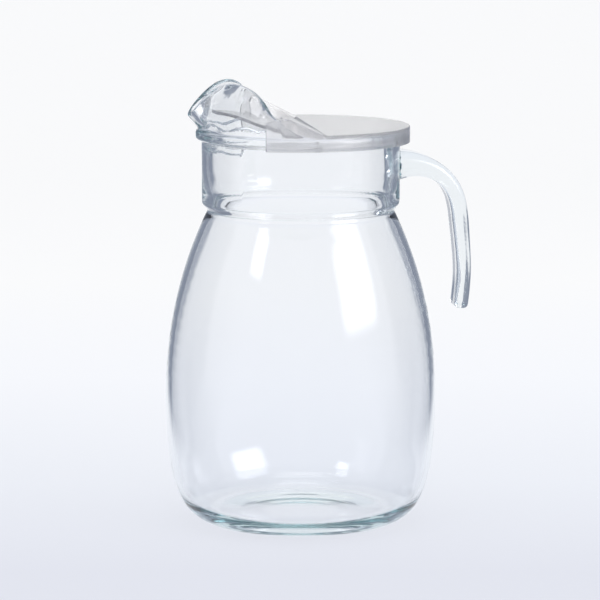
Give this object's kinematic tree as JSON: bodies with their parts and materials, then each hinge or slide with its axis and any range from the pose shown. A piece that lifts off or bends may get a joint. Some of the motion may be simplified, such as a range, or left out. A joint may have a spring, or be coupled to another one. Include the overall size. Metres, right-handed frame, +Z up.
{
  "type": "pitcher with lid",
  "caption": "Glass water pitcher with a pinched pouring spout, an open strap handle and a lift-off plastic pouring lid.",
  "frame": {"origin": "centre of the foot, on the surface the jug stands on", "axes": "+Z up, spout along -X, handle along +X"},
  "size_m": [0.1563, 0.138, 0.225],
  "materials": {
    "clear_glass": "clear soda glass, smooth",
    "lid_plastic": "translucent milky polyethylene, satin"
  },
  "bodies": {
    "jug": {"jug_body": "clear_glass", "handle": "clear_glass"},
    "lid": {"lid": "lid_plastic"}
  },
  "joints": [
    {"name": "lid_lift", "type": "slide", "parent": "jug", "child": "lid", "axis": [0, 0, 1], "range_m": [0, 0.06]}
  ]
}
